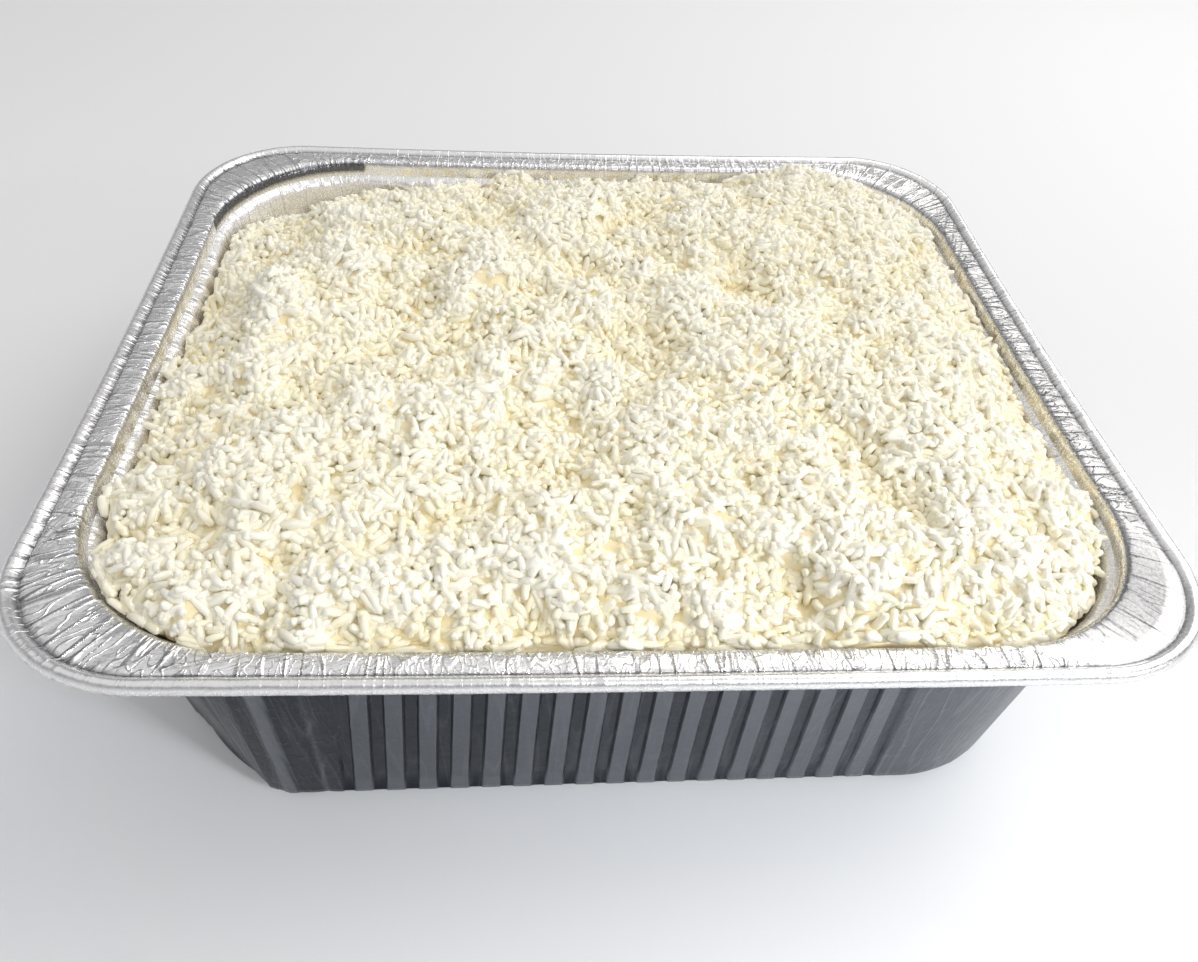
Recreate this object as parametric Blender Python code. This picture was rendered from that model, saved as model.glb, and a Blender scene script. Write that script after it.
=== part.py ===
"""Tray of cooked rice: a deep foil pan with ribbed walls and a rolled rim, heaped with long grain rice.

Metres, +Z up. The origin is the middle of the pan's flat underside. +X runs along the pan's long side
and +Y towards its far side.
"""

import math
import random

import bmesh
import bpy
from mathutils import Matrix, Vector, noise

# Foil pan
RIM_LENGTH = 0.324          # over the rolled hem, left to right
RIM_DEPTH = 0.286           # over the rolled hem, near to far
RIM_HEIGHT = 0.088          # underside to the top of the hem
RIM_CORNER = 0.0421         # corner radius of the hem's outer edge
FLANGE_WIDTH = 0.0133       # hem's outer edge to the flange's inner edge, at the short sides
FLANGE_NARROWING = 0.0013   # how much narrower the flange is at the long sides
MOUTH_CORNER = 0.0524       # corner radius of the flange's inner edge
FOIL = 0.0006               # wall thickness of the solid
HEM_WIDTH = 0.0042
HEM_DROP = 0.0048           # hem's top to its underside
HEM_SIDES = 9
WALL_TOP = 0.0792           # height of the ribs' upper ends
WALL_FOOT = 0.0046          # height of the ribs' lower ends
FOOT_INSET = 0.0218         # hem's outer edge to the ribs' lower ends
FOOT_CORNER = 0.0478        # corner radius there
RIB_DEPTH = 0.0011
PITCHES_ON_LONG_SIDE = 19    # of the ribs, with none on the first and the last
PITCHES_ON_SHORT_SIDE = 15
RIBS_DRAWN_TOGETHER = 0.90  # spread of the ribs at their upper ends, as a share of the side
CORNER_STEPS = 8

# The thin rim isn't quite flat: these lift it by this much towards opposite corners and long sides
CORNER_LIFT = 0.0022
SIDE_LIFT = 0.0017
END_LIFT = 0.0035

# A knock has pushed in the near left corner of the walls, most at the foot and not at all at the shoulder
DENT_DEPTH = 0.0056
DENT_HALF_WIDTH = 0.023
DENT_SHARE_AT_BASE = 0.2    # share of the depth that reaches the flat underside

# Rice
NODE_GAP = 0.0005           # rice to foil
GRID_STEP = 0.0084          # spacing of the heap's relief
DOME_RISE = 0.010           # how far the middle of the heap stands over its edge
DOME_REACH = 0.045          # distance from the wall over which it rises
GRAIN_LENGTH = 0.0078
GRAIN_WIDTH = 0.0026
GRAIN_SIDES = 5
GRAIN_SPACING = 0.0212
SEED = 11


def clear_scene():
    for ob in list(bpy.data.objects):
        bpy.data.objects.remove(ob, do_unlink=True)


def make_material(name, colour, roughness, metallic):
    mat = bpy.data.materials.new(name)
    mat.use_nodes = True
    shader = mat.node_tree.nodes["Principled BSDF"]
    shader.inputs["Base Color"].default_value = (*colour, 1.0)
    shader.inputs["Roughness"].default_value = roughness
    shader.inputs["Metallic"].default_value = metallic
    return mat


def make_object(name, bm, mat, sharp_angle):
    bmesh.ops.recalc_face_normals(bm, faces=bm.faces[:])
    mesh = bpy.data.meshes.new(name)
    bm.to_mesh(mesh)
    bm.free()
    mesh.materials.append(mat)
    mesh.shade_smooth()
    mesh.set_sharp_from_angle(angle=sharp_angle)
    ob = bpy.data.objects.new(name, mesh)
    bpy.context.scene.collection.objects.link(ob)
    return ob


def half_sizes(inset):
    """Half length and half depth of the outline that lies this far inside the hem's outer edge."""
    narrowing = FLANGE_NARROWING * min(1.0, inset / FLANGE_WIDTH)
    return RIM_LENGTH / 2 - inset, RIM_DEPTH / 2 - inset + narrowing


def outline(inset, corner, rib_depth=None, spread=1.0):
    """Points of a rounded oblong, anticlockwise, each with how far round it lies (0 to 8).

    Even steps of that measure are the corners and odd steps the sides. With a rib depth the sides zigzag
    inwards by that much, with four points to a rib. The spread draws them towards the side's middle.
    """
    half_x, half_y = half_sizes(inset)
    flat_x = half_x - corner
    flat_y = half_y - corner
    points = []
    for quarter, (cx, cy) in enumerate(((1, -1), (1, 1), (-1, 1), (-1, -1))):
        start = math.radians(-90 + 90 * quarter)
        for i in range(CORNER_STEPS + 1):
            share = i / CORNER_STEPS
            a = start + share * math.pi / 2
            x = cx * flat_x + corner * math.cos(a)
            y = cy * flat_y + corner * math.sin(a)
            points.append((x, y, 2 * quarter + share))
        if rib_depth is None:
            continue
        along_y = quarter % 2 == 0
        pitches = PITCHES_ON_SHORT_SIDE if along_y else PITCHES_ON_LONG_SIDE
        side_start = points[-1]
        length = 2 * (flat_y if along_y else flat_x)
        way = Vector((0, cx) if along_y else (-cy, 0))
        inwards = Vector((-cx, 0) if along_y else (0, -cy))
        for rib in range(1, pitches - 1):
            for part, depth in ((0.12, rib_depth), (0.24, 0.0), (0.76, 0.0), (0.88, rib_depth)):
                share = (rib + part) / pitches
                offset = way * ((0.5 + (share - 0.5) * spread) * length) + inwards * depth
                points.append((side_start[0] + offset.x, side_start[1] + offset.y,
                               2 * quarter + 1 + share))
    return points


def add_ring(bm, inset, corner, z, rib_depth=None, spread=1.0):
    places = outline(inset, corner, rib_depth, spread)
    return [(bm.verts.new((x, y, z)), around) for x, y, around in places]


def stitch(bm, ring_a, ring_b):
    """Faces between two rings, which may have different numbers of points."""
    a = ring_a + [(ring_a[0][0], 8.0)]
    b = ring_b + [(ring_b[0][0], 8.0)]
    i = 0
    j = 0
    while i < len(a) - 1 or j < len(b) - 1:
        next_a = (a[i][1] + a[i + 1][1]) / 2 if i < len(a) - 1 else math.inf
        next_b = (b[j][1] + b[j + 1][1]) / 2 if j < len(b) - 1 else math.inf
        if abs(next_a - next_b) < 1e-6:
            bm.faces.new((a[i][0], a[i + 1][0], b[j + 1][0], b[j][0]))
            i += 1
            j += 1
        elif next_a < next_b:
            bm.faces.new((a[i][0], a[i + 1][0], b[j][0]))
            i += 1
        else:
            bm.faces.new((a[i][0], b[j + 1][0], b[j][0]))
            j += 1


def loft(bm, rings):
    """A closed body through the rings, with a flat face across the first and the last."""
    for ring_a, ring_b in zip(rings, rings[1:]):
        stitch(bm, ring_a, ring_b)
    for ring in (rings[0], rings[-1]):
        bm.faces.new([v for v, _ in ring])


def rim_wave(x, y):
    """How far the rim lies over or under its mean level."""
    u = x / (RIM_LENGTH / 2)
    v = y / (RIM_DEPTH / 2)
    return CORNER_LIFT * u * v + SIDE_LIFT * (u * u - 0.5) + END_LIFT * (v * v - 0.5)


def dent(x, y, z):
    """How far the knocked corner is pushed towards the middle at this place."""
    half_x, half_y = half_sizes(FOOT_INSET)
    past_x = -x - (half_x - FOOT_CORNER)
    past_y = -y - (half_y - FOOT_CORNER)
    if min(past_x, past_y) < 0 or z > WALL_TOP:
        return 0.0
    if z < WALL_FOOT:
        share = DENT_SHARE_AT_BASE + (1 - DENT_SHARE_AT_BASE) * z / WALL_FOOT
    else:
        share = (WALL_TOP - z) / (WALL_TOP - WALL_FOOT)
    across = (past_x - past_y) / math.sqrt(2)
    return DENT_DEPTH * share * max(0.0, 1.0 - (across / DENT_HALF_WIDTH) ** 2)


def settle(ob):
    """Gives the object the knocked corner, and the rim's slow wave, full at the rim and none at the base."""
    for v in ob.data.vertices:
        push = dent(*v.co) / math.sqrt(2)
        v.co.x += push
        v.co.y += push
        share = max(0.0, min(1.0, v.co.z / RIM_HEIGHT))
        v.co.z += rim_wave(v.co.x, v.co.y) * share * share


def build_tray(mat):
    bm = bmesh.new()
    rings = []
    # Underside, foot and the ribbed outside of the walls
    for inset, corner, z in ((0.0270, 0.0440, 0.0), (0.0246, 0.0460, 0.0008), (0.0235, 0.0470, 0.0028)):
        rings.append(add_ring(bm, inset, corner, z))
    rings.append(add_ring(bm, FOOT_INSET, FOOT_CORNER, WALL_FOOT, RIB_DEPTH))
    rings.append(add_ring(bm, 0.0156, 0.0512, WALL_TOP, RIB_DEPTH, RIBS_DRAWN_TOGETHER))
    # Shoulder, lip and the flange's underside
    for inset, corner, z in ((0.0146, 0.0518, 0.0796), (0.0133, 0.0528, 0.0806),
                             (0.0127, 0.0530, 0.0862), (0.0060, 0.0366, 0.0862)):
        rings.append(add_ring(bm, inset, corner, z))
    # Rolled hem, an oval from the flange's underside round to its upper side
    middle_z = RIM_HEIGHT - HEM_DROP / 2
    for i in range(HEM_SIDES + 1):
        a = math.radians(-15 - 290 * i / HEM_SIDES)
        inset = HEM_WIDTH / 2 + HEM_WIDTH / 2 * math.cos(a)
        rings.append(add_ring(bm, inset, RIM_CORNER - inset, middle_z + HEM_DROP / 2 * math.sin(a)))
    # Groove beside the hem, the flange's upper side and the lip's inside
    for inset, corner, z in ((0.0046, 0.0375, 0.0866), (0.0056, 0.0368, 0.0870), (0.0125, 0.0520, 0.0871),
                             (FLANGE_WIDTH, MOUTH_CORNER, 0.0867), (0.0139, 0.0522, 0.0812),
                             (0.0151, 0.0513, 0.0802)):
        rings.append(add_ring(bm, inset, corner, z))
    # Ribbed inside of the walls, down to the floor of the pan
    rings.append(add_ring(bm, 0.0156 + FOIL, 0.0506, WALL_TOP + FOIL, RIB_DEPTH, RIBS_DRAWN_TOGETHER))
    rings.append(add_ring(bm, FOOT_INSET + FOIL, FOOT_CORNER - FOIL, WALL_FOOT + 0.0004, RIB_DEPTH))
    for inset, corner, z in ((0.0242, 0.0463, 0.0032), (0.0252, 0.0454, 0.0015), (0.0274, 0.0436, FOIL)):
        rings.append(add_ring(bm, inset, corner, z))
    loft(bm, rings)
    tray = make_object("foil_tray", bm, mat, math.radians(35))
    settle(tray)
    return tray


def wall_distance(x, y):
    """Distance from a point on plan to the mouth of the pan, positive inside."""
    half_x, half_y = half_sizes(FLANGE_WIDTH + NODE_GAP)
    a = abs(x) - (half_x - MOUTH_CORNER)
    b = abs(y) - (half_y - MOUTH_CORNER)
    return MOUTH_CORNER - math.hypot(max(a, 0), max(b, 0)) - min(max(a, b), 0)


def mound(x, y, at_x, at_y, rise, spread_x, spread_y=None, turn=0.0):
    """A soft lump or, with a negative rise, a hollow, longer one way than the other if two spreads differ."""
    dx = x - at_x
    dy = y - at_y
    c = math.cos(math.radians(turn))
    s = math.sin(math.radians(turn))
    u = (dx * c + dy * s) / spread_x
    v = (dy * c - dx * s) / (spread_y or spread_x)
    return rise * math.exp(-u * u - v * v)


# Clumps and hollows of the heap: x, y, rise, spread along, spread across, turn in degrees
CLUMPS = (
    (-0.044, 0.034, 0.0052, 0.017, 0.012, 60), (-0.013, 0.072, 0.0060, 0.022, 0.013, 70),
    (0.031, 0.017, 0.0058, 0.018, 0.012, -60), (0.064, -0.004, 0.0060, 0.024, 0.013, -50),
    (0.092, -0.050, 0.0056, 0.030, 0.013, -60), (-0.099, 0.046, 0.0046, 0.020, 0.014, 40),
    (-0.120, 0.016, 0.0034, 0.018, 0.014, 80), (0.070, 0.060, 0.0042, 0.020, 0.013, -40),
    (0.108, 0.080, 0.0030, 0.024, 0.018, -30), (-0.062, -0.052, 0.0040, 0.024, 0.014, 20),
    (-0.105, -0.068, 0.0036, 0.022, 0.016, 50), (0.020, -0.052, 0.0036, 0.020, 0.013, -70),
    (0.114, -0.110, 0.0060, 0.016, 0.011, -35), (-0.020, -0.104, 0.0034, 0.030, 0.013, 5),
    (0.060, -0.112, 0.0034, 0.018, 0.012, 80), (-0.088, -0.108, 0.0030, 0.024, 0.013, -10),
    (-0.066, 0.006, -0.0056, 0.022, 0.012, 70), (0.011, -0.012, -0.0050, 0.018, 0.011, -55),
    (0.052, 0.030, -0.0054, 0.022, 0.009, -55), (0.077, -0.074, -0.0050, 0.026, 0.010, -60),
    (-0.010, -0.070, -0.0036, 0.022, 0.010, 0), (0.026, 0.078, -0.0036, 0.018, 0.010, 80),
)

# Where the rice meets the wall lower or higher than elsewhere: x, y, rise, spread
EDGES = ((-0.126, 0.112, -0.0070, 0.040), (0.108, 0.104, 0.0056, 0.040), (0.136, -0.108, -0.0070, 0.024))


def heap_height(x, y):
    """Height of the bare heap's surface over the pan's underside."""
    u = x / (RIM_LENGTH / 2)
    v = y / (RIM_DEPTH / 2)
    level = -0.0060 + 0.0030 * u - 0.0020 * v
    for at_x, at_y, rise, spread in EDGES:
        level += mound(x, y, at_x, at_y, rise, spread)
    share = max(0.0, min(1.0, wall_distance(x, y) / DOME_REACH))
    level += DOME_RISE * share * share * (3 - 2 * share)
    for at_x, at_y, rise, along, across, turn in CLUMPS:
        level += mound(x, y, at_x, at_y, rise, along, across, turn)
    level += 0.0016 * noise.noise(Vector((x, y, 0.0)) / 0.013)
    level += 0.0013 * noise.noise(Vector((x, y, 0.1)) / 0.0075)
    return RIM_HEIGHT + level


def build_heap_block():
    """A block whose top is the heap's relief, wider all round than the pan's mouth."""
    half_x, half_y = half_sizes(FLANGE_WIDTH - 0.002)
    columns = round(2 * half_x / GRID_STEP)
    rows = round(2 * half_y / GRID_STEP)
    bm = bmesh.new()
    top = []
    for j in range(rows + 1):
        for i in range(columns + 1):
            x = half_x * (2 * i / columns - 1)
            y = half_y * (2 * j / rows - 1)
            top.append(bm.verts.new((x, y, heap_height(x, y))))
    for j in range(rows):
        for i in range(columns):
            a = j * (columns + 1) + i
            b = a + columns + 1
            if (i + j) % 2:
                bm.faces.new((top[a], top[a + 1], top[b + 1]))
                bm.faces.new((top[a], top[b + 1], top[b]))
            else:
                bm.faces.new((top[a], top[a + 1], top[b]))
                bm.faces.new((top[a + 1], top[b + 1], top[b]))
    edge = [e for e in bm.edges if e.is_boundary]
    skirt = bmesh.ops.extrude_edge_only(bm, edges=edge)["geom"]
    for v in (g for g in skirt if isinstance(g, bmesh.types.BMVert)):
        v.co.z = -0.01
    bmesh.ops.holes_fill(bm, edges=[e for e in bm.edges if e.is_boundary])
    return bm


def build_hollow():
    """The room for rice inside the pan, clear of the foil, and open upwards past the rim."""
    bm = bmesh.new()
    rings = []
    for inset, corner, z in ((0.0282, 0.0428, 0.0010), (0.0259, 0.0448, 0.0026), (0.0246, 0.0460, 0.0050),
                             (0.0178, 0.0494, 0.0805), (0.0145, 0.0517, 0.0813),
                             (FLANGE_WIDTH + NODE_GAP, 0.0520, 0.0866),
                             (FLANGE_WIDTH + NODE_GAP, 0.0520, 0.1300)):
        rings.append(add_ring(bm, inset, corner, z))
    loft(bm, rings)
    return bm


def build_grain(bm, place, length, width):
    """One grain: blunt ends, three rings of few sides, slightly bowed."""
    rings = []
    for along, radius, bow in ((-0.36, 0.70, 0.0), (0.0, 1.0, 0.12), (0.36, 0.74, 0.0)):
        ring = []
        for k in range(GRAIN_SIDES):
            a = 2 * math.pi * k / GRAIN_SIDES
            co = Vector((along * length, math.cos(a) * radius * width / 2,
                         (math.sin(a) * radius + bow) * width / 2))
            ring.append(bm.verts.new(place @ co))
        rings.append(ring)
    ends = [bm.verts.new(place @ Vector((side * length / 2, 0, 0))) for side in (-1, 1)]
    for k in range(GRAIN_SIDES):
        n = (k + 1) % GRAIN_SIDES
        bm.faces.new((ends[0], rings[0][n], rings[0][k]))
        for a, b in zip(rings, rings[1:]):
            bm.faces.new((a[k], a[n], b[n], b[k]))
        bm.faces.new((ends[1], rings[2][k], rings[2][n]))


def apply_boolean(ob, operation, other):
    """Applies a Boolean with one object, or with every object of a collection, and removes what it used."""
    cut = ob.modifiers.new(operation.title(), "BOOLEAN")
    cut.operation = operation
    cut.solver = "EXACT"
    if isinstance(other, bpy.types.Collection):
        cut.operand_type = "COLLECTION"
        cut.collection = other
        used = list(other.objects)
    else:
        cut.object = other
        used = [other]
    bpy.context.view_layer.update()
    graph = bpy.context.evaluated_depsgraph_get()
    mesh = bpy.data.meshes.new_from_object(ob.evaluated_get(graph), depsgraph=graph)
    ob.modifiers.remove(cut)
    ob.data = mesh
    for item in used:
        bpy.data.objects.remove(item, do_unlink=True)


def keep_largest_body(ob):
    """Drops loose scraps, so that the node is one closed body."""
    bm = bmesh.new()
    bm.from_mesh(ob.data)
    bmesh.ops.remove_doubles(bm, verts=bm.verts[:], dist=0.00002)
    bmesh.ops.triangulate(bm, faces=bm.faces[:])
    unseen = set(bm.verts)
    bodies = []
    while unseen:
        body = {unseen.pop()}
        edge = list(body)
        while edge:
            v = edge.pop()
            for e in v.link_edges:
                other = e.other_vert(v)
                if other in unseen:
                    unseen.discard(other)
                    body.add(other)
                    edge.append(other)
        bodies.append(body)
    bodies.sort(key=len)
    for body in bodies[:-1]:
        bmesh.ops.delete(bm, geom=list(body), context="VERTS")
    bm.to_mesh(ob.data)
    bm.free()


def scatter_grains(mat):
    """Grains over the heap, one to each cell of a loose grid, half sunk in the surface."""
    draw = random.Random(SEED)
    grains = bpy.data.collections.new("Grains")
    bpy.context.scene.collection.children.link(grains)
    half_x, half_y = half_sizes(FLANGE_WIDTH)
    rows = round(2 * half_y / GRAIN_SPACING)
    columns = round(2 * half_x / GRAIN_SPACING)
    for j in range(rows):
        for i in range(columns):
            x = half_x * (2 * (i + 0.5 + draw.uniform(-0.34, 0.34)) / columns - 1)
            y = half_y * (2 * (j + 0.5 + draw.uniform(-0.34, 0.34)) / rows - 1)
            yaw = draw.uniform(0, math.pi)
            pitch = draw.uniform(-0.5, 0.5)
            length = GRAIN_LENGTH * draw.uniform(0.85, 1.12)
            z = heap_height(x, y) + 0.12 * GRAIN_WIDTH
            in_lip = z > RIM_HEIGHT - 0.006
            if wall_distance(x, y) < length / 2 + (0.0008 if in_lip else 0.0052):
                continue
            place = Matrix.Translation((x, y, z)) @ Matrix.Rotation(yaw, 4, "Z") @ Matrix.Rotation(pitch, 4, "Y")
            bm = bmesh.new()
            build_grain(bm, place, length, GRAIN_WIDTH)
            grain = make_object(f"grain_{j}_{i}", bm, mat, math.radians(60))
            bpy.context.scene.collection.objects.unlink(grain)
            grains.objects.link(grain)
    return grains


def build_rice(mat):
    heap = make_object("rice_heap", build_heap_block(), mat, math.radians(40))
    hollow = make_object("hollow", build_hollow(), mat, math.radians(40))
    apply_boolean(heap, "INTERSECT", hollow)
    keep_largest_body(heap)
    apply_boolean(heap, "UNION", scatter_grains(mat))
    keep_largest_body(heap)
    heap.data.materials.clear()
    heap.data.materials.append(mat)
    heap.data.shade_smooth()
    heap.data.set_sharp_from_angle(angle=math.radians(40))
    settle(heap)
    return heap


clear_scene()
foil = make_material("foil", (0.62, 0.62, 0.65), 0.26, 1.0)
rice = make_material("cooked_rice", (0.92, 0.87, 0.74), 0.48, 0.0)
build_tray(foil)
build_rice(rice)
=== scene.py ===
import math

import bmesh
import bpy
import numpy as np
from mathutils import Matrix, Vector, noise
from mathutils.bvhtree import BVHTree


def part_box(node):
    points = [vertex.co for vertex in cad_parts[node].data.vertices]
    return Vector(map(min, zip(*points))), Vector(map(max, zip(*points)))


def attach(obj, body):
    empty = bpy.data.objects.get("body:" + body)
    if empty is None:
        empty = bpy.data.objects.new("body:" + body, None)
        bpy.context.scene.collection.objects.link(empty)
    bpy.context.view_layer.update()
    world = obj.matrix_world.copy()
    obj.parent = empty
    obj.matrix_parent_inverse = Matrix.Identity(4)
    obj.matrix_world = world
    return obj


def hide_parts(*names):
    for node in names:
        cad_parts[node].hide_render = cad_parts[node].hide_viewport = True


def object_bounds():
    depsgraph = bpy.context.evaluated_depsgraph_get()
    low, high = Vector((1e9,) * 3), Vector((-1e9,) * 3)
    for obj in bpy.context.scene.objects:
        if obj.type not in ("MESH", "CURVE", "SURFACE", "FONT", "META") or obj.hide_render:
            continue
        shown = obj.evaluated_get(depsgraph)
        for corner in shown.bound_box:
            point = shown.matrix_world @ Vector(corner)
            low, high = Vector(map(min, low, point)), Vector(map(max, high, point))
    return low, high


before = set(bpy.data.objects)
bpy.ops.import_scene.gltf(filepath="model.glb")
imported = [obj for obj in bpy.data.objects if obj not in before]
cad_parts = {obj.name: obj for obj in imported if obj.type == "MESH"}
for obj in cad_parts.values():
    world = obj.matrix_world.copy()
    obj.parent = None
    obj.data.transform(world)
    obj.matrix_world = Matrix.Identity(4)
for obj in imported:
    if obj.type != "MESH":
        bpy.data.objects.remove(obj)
cad_low, cad_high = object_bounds()
bpy.ops.object.select_all(action="DESELECT")


# The pan's outline. A deep catering pan pressed from one sheet of foil: every level of it is a rounded
# oblong, whose corners are rounder at the mouth than at the rolled rim. Its thin rim isn't quite flat.

pan_low, pan_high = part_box("foil_tray")
RIM_LENGTH = pan_high[0] - pan_low[0]
RIM_DEPTH = pan_high[1] - pan_low[1]
RIM_HEIGHT = 0.088
RIM_CORNER = 0.0421
CORNER_LIFT = 0.0022
SIDE_LIFT = 0.0017
END_LIFT = 0.0035
FLANGE_WIDTH = 0.0133
FLANGE_NARROWING = 0.0013
PITCHES_ON_LONG_SIDE = 19
PITCHES_ON_SHORT_SIDE = 15
RIBS_DRAWN_TOGETHER = 0.90
RIB_COLUMNS = (0.0, 0.09, 0.17, 0.21, 0.25, 0.375, 0.50, 0.625, 0.75, 0.79, 0.83, 0.91)
CORNER_COLUMNS = 72
WALL_FOOT = (0.0218, 0.0478, 0.0046)
WALL_TOP = (0.0156, 0.0512, 0.0790)
DENT_DEPTH = 0.0056
DENT_HALF_WIDTH = 0.023
DENT_SHARE_AT_BASE = 0.2


def rim_wave(x, y):
    """How far the rim lies over or under its mean level."""
    u = x / (RIM_LENGTH / 2)
    v = y / (RIM_DEPTH / 2)
    return CORNER_LIFT * u * v + SIDE_LIFT * (u * u - 0.5) + END_LIFT * (v * v - 0.5)


def dent(x, y, z):
    """How far a knock has pushed the near left corner of the walls towards the middle."""
    half_x, half_y = half_sizes(WALL_FOOT[0])
    past_x = -x - (half_x - WALL_FOOT[1])
    past_y = -y - (half_y - WALL_FOOT[1])
    share = np.interp(z, (0.0, WALL_FOOT[2], WALL_TOP[2]), (DENT_SHARE_AT_BASE, 1.0, 0.0))
    across = (past_x - past_y) / math.sqrt(2)
    push = DENT_DEPTH * share * np.maximum(0.0, 1.0 - (across / DENT_HALF_WIDTH) ** 2)
    return np.where(np.minimum(past_x, past_y) > 0, push, 0.0)


def half_sizes(inset):
    """Half length and half depth of the outline that lies this far inside the rim's outer edge."""
    narrowing = FLANGE_NARROWING * np.minimum(1.0, inset / FLANGE_WIDTH)
    return RIM_LENGTH / 2 - inset, RIM_DEPTH / 2 - inset + narrowing


def outline_columns():
    """Columns of the pan's skin, anticlockwise: quarter, on a corner or not, share of the way along it."""
    columns = []
    for quarter in range(4):
        columns += [(quarter, 1, (i + 0.5) / CORNER_COLUMNS) for i in range(CORNER_COLUMNS)]
        pitches = PITCHES_ON_SHORT_SIDE if quarter % 2 == 0 else PITCHES_ON_LONG_SIDE
        columns += [(quarter, 0, (rib + part) / pitches) for rib in range(pitches) for part in RIB_COLUMNS]
    return np.array(columns)


COLUMNS = outline_columns()
ON_CORNER = COLUMNS[:, 1] > 0.5
SIGN_X = np.array((1, 1, -1, -1))[COLUMNS[:, 0].astype(int)]
SIGN_Y = np.array((-1, 1, 1, -1))[COLUMNS[:, 0].astype(int)]


def outline(inset, corner, spread=1.0):
    """Plan position and outward direction of every column at one level. Spread draws the ribs together."""
    half_x, half_y = half_sizes(inset)
    flat_x = half_x - corner
    flat_y = half_y - corner
    share = COLUMNS[:, 2]
    for pitches, turns in ((PITCHES_ON_SHORT_SIDE, 0), (PITCHES_ON_LONG_SIDE, 1)):
        reach = 0.5 - 1 / pitches
        drawn = np.interp(share, (0, 0.5 - reach, 0.5 + reach, 1),
                          (0, 0.5 - reach * spread, 0.5 + reach * spread, 1))
        share = np.where(~ON_CORNER & (COLUMNS[:, 0] % 2 == turns), drawn, share)
    turn = np.radians(-90 + 90 * COLUMNS[:, 0]) + np.where(ON_CORNER, share * np.pi / 2, np.pi / 2)
    out = np.stack((np.cos(turn), np.sin(turn)), 1).round(9)
    along = np.stack((-out[:, 1], out[:, 0]), 1)
    length = np.where(COLUMNS[:, 0] % 2 == 0, 2 * flat_y, 2 * flat_x)
    middle = np.stack((SIGN_X * flat_x, SIGN_Y * flat_y), 1)
    place = middle + out * corner + along * np.where(ON_CORNER, 0.0, share * length)[:, None]
    return place, out


# Creases. Foil that is pressed into a corner has nowhere to go and folds into fine pleats, close together
# over the corner and fewer, as sharp nicks, along the straight sides. The near right corner stayed smooth.

rng = np.random.default_rng(7)
MOUTH_CORNER = 0.0524
CREASE_STEP = 0.00025
MOUTH_X, MOUTH_Y = (half - MOUTH_CORNER for half in half_sizes(FLANGE_WIDTH))
QUARTER_TURN = MOUTH_CORNER * math.pi / 2
ROUND = 4 * (QUARTER_TURN + MOUTH_X + MOUTH_Y)
CORNER_STARTS = (np.array((0, 1, 2, 3)) * QUARTER_TURN + np.array((0, 2, 2, 4)) * MOUTH_Y
                 + np.array((0, 0, 2, 2)) * MOUTH_X)
SIDE_RUNS = 2 * np.array((MOUTH_Y, MOUTH_X, MOUTH_Y, MOUTH_X))


def round_place(x, y):
    """How far round the mouth a ring's points lie: by their turn at the corners, straight at the sides."""
    quarter = COLUMNS[:, 0].astype(int)
    starts_long_side = quarter % 2 == 1
    past_x = x * SIGN_X - MOUTH_X
    past_y = y * SIGN_Y - MOUTH_Y
    turn = np.arctan2(np.maximum(past_y, 0), np.maximum(past_x, 0))
    turn = np.where(starts_long_side, turn, math.pi / 2 - turn)
    along = np.where(starts_long_side, MOUTH_X - x * SIGN_X, MOUTH_Y - y * SIGN_Y)
    before = np.where(starts_long_side, MOUTH_Y - y * SIGN_Y, MOUTH_X - x * SIGN_X)
    in_corner = CORNER_STARTS[quarter] + turn * MOUTH_CORNER
    on_side = CORNER_STARTS[quarter] + QUARTER_TURN + np.clip(along, 0, None)
    on_last_side = CORNER_STARTS[quarter] - before
    ahead = np.where(starts_long_side, past_x, past_y) < 0
    behind = np.where(starts_long_side, past_y, past_x) < 0
    return np.where(ahead, on_side, np.where(behind, on_last_side, in_corner)) % ROUND


def crease_line(per_corner, per_side, width, height, reach=0.0):
    """Heights of narrow random ridges and furrows, at even steps round the mouth."""
    at = np.arange(0, ROUND, CREASE_STEP)
    ridge = np.zeros(len(at))
    for quarter in range(4):
        start = CORNER_STARTS[quarter]
        end = start + QUARTER_TURN
        over_corner = (per_corner, (start - reach, end + reach), CORNER_CRUMPLE[quarter])
        along_side = (per_side, (end, end + SIDE_RUNS[quarter]), 1.0)
        for amount, run, strength in (over_corner, along_side):
            for middle in rng.uniform(*run, amount):
                tall = height * strength * rng.uniform(0.25, 1.0) * rng.choice((-1, 1))
                wide = width * rng.uniform(0.5, 1.6)
                gap = np.abs((at - middle + ROUND / 2) % ROUND - ROUND / 2)
                ridge += tall * np.exp(-(gap / wide) ** 1.4)
    return ridge


def along_line(line, x, y):
    """Heights of a crease line at the points of a ring."""
    return np.interp(round_place(x, y), np.arange(len(line)) * CREASE_STEP, line)


CORNER_CRUMPLE = np.array((0.25, 0.80, 1.00, 1.25))
FLANGE_CREASES = crease_line(26, 40, 0.0010, 0.00045)
HEM_CREASES = crease_line(14, 18, 0.0015, 0.00012)
WALL_CREASES = crease_line(18, 0, 0.0012, 0.00080, 0.012)
SIDE_CRUMPLE = 0.7
CRUMPLE = np.where(ON_CORNER, CORNER_CRUMPLE[COLUMNS[:, 0].astype(int)], SIDE_CRUMPLE)

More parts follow.
